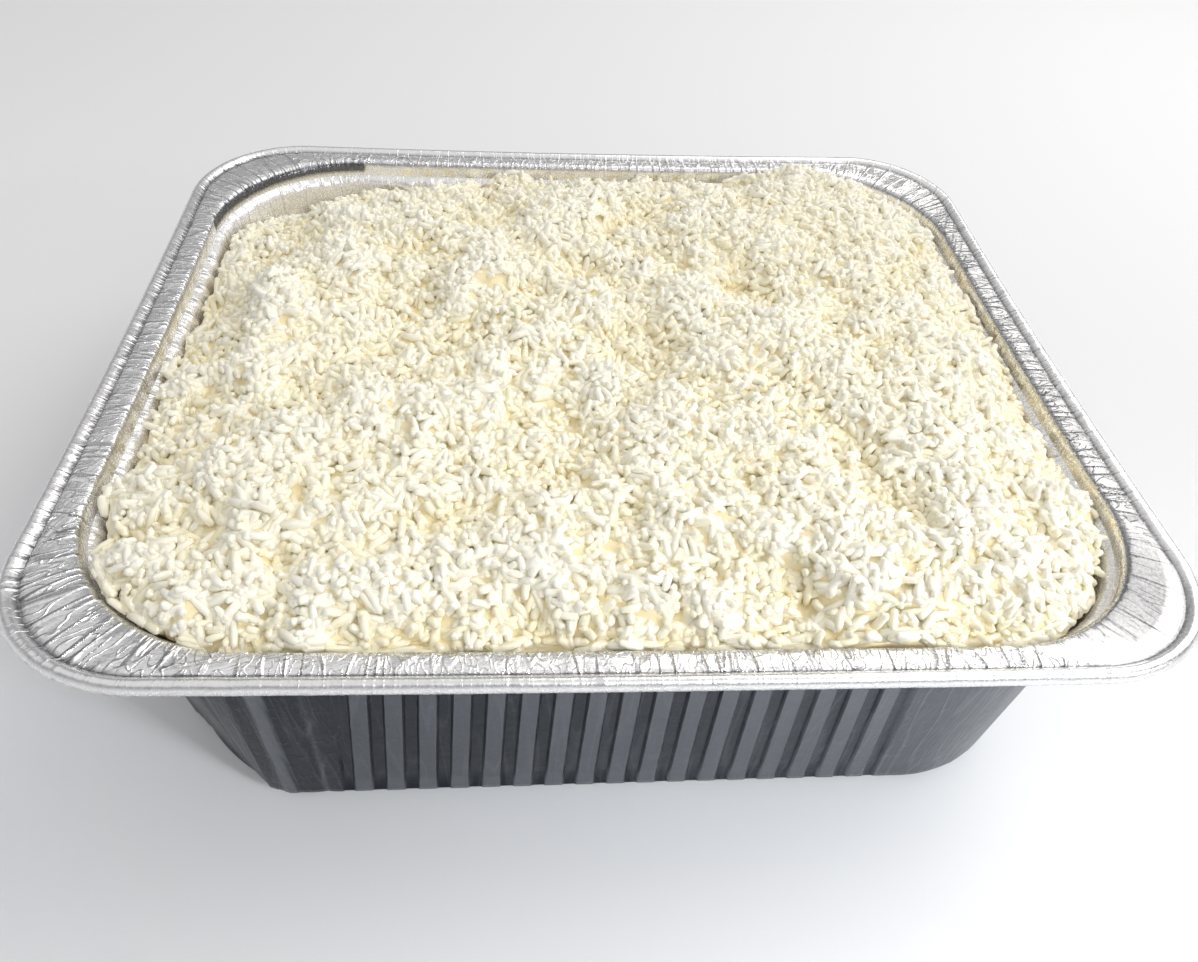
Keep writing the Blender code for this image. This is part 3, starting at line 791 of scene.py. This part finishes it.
bpy.data.objects.remove(grain, do_unlink=True)


def turned(yaw, pitch, roll, slope_a, slope_b):
    """Rotation matrices of many grains: rolled, pitched, turned on plan, then leant with the slope."""
    def about(axis, angle):
        c, s = np.cos(angle), np.sin(angle)
        m = np.zeros((len(angle), 3, 3))
        i, j = ((1, 2), (2, 0), (0, 1))[axis]
        m[:, axis, axis] = 1
        m[:, i, i] = m[:, j, j] = c
        m[:, j, i] = s
        m[:, i, j] = -s
        return m
    lean = np.matmul(about(0, np.arctan(slope_b)), about(1, -np.arctan(slope_a)))
    spin = np.matmul(about(2, yaw), np.matmul(about(1, pitch), about(0, roll)))
    return np.matmul(lean, spin)


def strew(name, amount, lift, pitch, length, shade, seed):
    """A piece of many grains laid over the heap, clear of the foil. Lift, pitch and shade: mean, spread."""
    draw = np.random.default_rng(seed)
    half_x, half_y = half_sizes(FLANGE_WIDTH)
    x = draw.uniform(-half_x, half_x, amount * 2)
    y = draw.uniform(-half_y, half_y, amount * 2)
    z = sample(field, x, y) + draw.normal(lift[0], lift[1], len(x))
    gap, wall = room(x, y, z)
    keep = gap > GRAIN_WIDTH * 0.48
    x, y, z, gap, wall = (v[keep][:amount] for v in (x, y, z, gap, wall))
    size = length * draw.uniform(*GRAIN_SIZES, len(x))
    yaw = draw.uniform(0, 2 * np.pi, len(x))
    near_wall = gap < size * 0.55
    yaw = np.where(near_wall, wall + np.pi / 2 + draw.normal(0, 0.12, len(x)), yaw)
    tilt = draw.normal(pitch[0], pitch[1], len(x)) * np.where(near_wall, 0.4, 1.0)
    matrices = turned(yaw, tilt, draw.uniform(0, 2 * np.pi, len(x)),
                      np.clip(sample(slope_x, x, y), -1, 1), np.clip(sample(slope_y, x, y), -1, 1))
    fat = draw.uniform(*GRAIN_FATNESS, len(x))
    scale = np.stack((size, GRAIN_LENGTH * fat, GRAIN_LENGTH * fat), 1)
    points = GRAIN_POINTS[None] * scale[:, None]
    points = np.einsum("nij,npj->npi", matrices, points) + np.stack((x, y, z), 1)[:, None]
    ends_gap = room(points[..., 0], points[..., 1], points[..., 2])[0].min(1)
    fits = (ends_gap > GRAIN_CLEARANCE) & (points[..., 2].max(1) < cad_high[2])
    points = points[fits]
    faces = GRAIN_FACES[None] + np.arange(len(points))[:, None, None] * len(GRAIN_POINTS)
    mesh = bpy.data.meshes.new(name)
    mesh.from_pydata(points.reshape(-1, 3), [], faces.reshape(-1, 3).tolist())
    # Painted shade in the hollows and painted light on what stands out, from the heap's relief.
    grain_tone_and_shade = draw.normal(shade[0], shade[1], len(x)) + SHADE_IN_HOLLOWS * sample(openness, x, y)
    grain_tone_and_shade += SHADE_IN_BROAD_HOLLOWS * sample(height_over, x, y) + PATCH_TINT * sample(patches, x, y)
    grain_tone_and_shade = np.clip(grain_tone_and_shade[fits], 0, 1)
    layer = mesh.attributes.new("shade", "FLOAT", "POINT")
    layer.data.foreach_set("value", np.repeat(grain_tone_and_shade, len(GRAIN_POINTS)))
    mesh.shade_smooth()
    grains = bpy.data.objects.new(name, mesh)
    bpy.context.scene.collection.objects.link(grains)
    return grains


# Lower kinds get a lower shade mean, so sunk grains are painted darker: painted shade.
rice_pieces = [
    strew("rice_grains_sunk", 5450, (-0.0001, 0.0004), (0.0, 0.22), GRAIN_LENGTH, (0.42, 0.09), 21),
    strew("rice_grains_bedded", 5400, (0.0002, 0.0005), (0.0, 0.36), GRAIN_LENGTH, (0.54, 0.09), 22),
    strew("rice_grains_loose", 5400, (0.0010, 0.0006), (0.0, 0.45), GRAIN_LENGTH, (0.62, 0.09), 23),
    strew("rice_grains_on_end", 3000, (0.0006, 0.0007), (0.85, 0.25), GRAIN_LENGTH * 0.92, (0.64, 0.09), 24),
    strew("rice_grains_broken", 3600, (0.0010, 0.0007), (0.2, 0.50), GRAIN_LENGTH * 0.55, (0.62, 0.10), 25),
]
for piece in rice_pieces:
    piece.data.materials.append(grain_finish)
    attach(piece, "root")


# The stage: a plain pale floor, a soft bright room with a wide light at the far right and two weaker ones
# on the near side, and the view of the photo.

bpy.ops.mesh.primitive_plane_add(size=8.0, location=(0, 0, 0))
floor = bpy.context.object
floor.name = "floor"
floor_finish = bpy.data.materials.new("Pale floor")
floor_finish.use_nodes = True
floor_finish.node_tree.nodes["Principled BSDF"].inputs["Base Color"].default_value = (0.86, 0.86, 0.87, 1)
floor_finish.node_tree.nodes["Principled BSDF"].inputs["Roughness"].default_value = 0.7
floor.data.materials.append(floor_finish)

world = bpy.data.worlds.new("Soft room")
bpy.context.scene.world = world
world.use_nodes = True
nodes, links = world.node_tree.nodes, world.node_tree.links
way = nodes.new("ShaderNodeTexCoord")
height = nodes.new("ShaderNodeSeparateXYZ")
sky = nodes.new("ShaderNodeValToRGB")
sky.color_ramp.elements[0].color = (0.78, 0.82, 0.88, 1)
sky.color_ramp.elements[1].color = (1.0, 1.0, 1.0, 1)
for place, grey in ((0.20, 0.55), (0.52, 0.42), (0.76, 1.00)):
    sky.color_ramp.elements.new(place).color = (grey, grey, grey * 1.01, 1)
links.new(way.outputs["Generated"], height.inputs["Vector"])
links.new(height.outputs["Z"], sky.inputs["Fac"])
links.new(sky.outputs["Color"], nodes["Background"].inputs["Color"])
nodes["Background"].inputs["Strength"].default_value = 0.75


def panel(name, place, aim, size, power, colour, spread=180):
    """A soft square light."""
    light = bpy.data.lights.new(name, "AREA")
    light.shape = "SQUARE"
    light.size = size
    light.energy = power
    light.color = colour
    light.spread = math.radians(spread)
    ob = bpy.data.objects.new(name, light)
    ob.location = place
    ob.rotation_euler = (Vector(aim) - Vector(place)).to_track_quat("-Z", "Y").to_euler()
    bpy.context.scene.collection.objects.link(ob)


panel("far_right", (0.75, 0.45, 0.95), (0, 0, 0.08), 1.20, 8.2, (1.0, 0.985, 0.95))
panel("near_fill", (0.50, -0.90, 0.80), (0, 0, 0.05), 0.8, 2.5, (0.96, 0.98, 1.0))
panel("low_right", (0.85, -0.75, 0.55), (0.16, -0.24, 0.0), 0.20, 0.35, (0.93, 0.97, 1.0), 30)

PHOTO_WIDTH = 1198
FOCAL_PIXELS = 970.9
CAMERA_PLACE = (-0.03475, -0.27647, 0.28494)
CAMERA_YAW, CAMERA_PITCH, CAMERA_ROLL = -7.658, 43.570, -5.340

camera = bpy.data.cameras.new("photo_view")
camera.sensor_width = 36.0
camera.lens = FOCAL_PIXELS / PHOTO_WIDTH * camera.sensor_width
camera.clip_start = 0.01
view = bpy.data.objects.new("photo_view", camera)
bpy.context.scene.collection.objects.link(view)
bpy.context.scene.camera = view
level_look = (Matrix.Rotation(math.radians(CAMERA_YAW), 4, "Z")
              @ Matrix.Rotation(math.radians(-CAMERA_PITCH), 4, "X")
              @ Matrix.Rotation(math.radians(CAMERA_ROLL), 4, "Y"))
view.matrix_world = (Matrix.Translation(CAMERA_PLACE) @ level_look
                     @ Matrix.Rotation(math.radians(90), 4, "X"))
bpy.context.scene.view_settings.view_transform = "Standard"
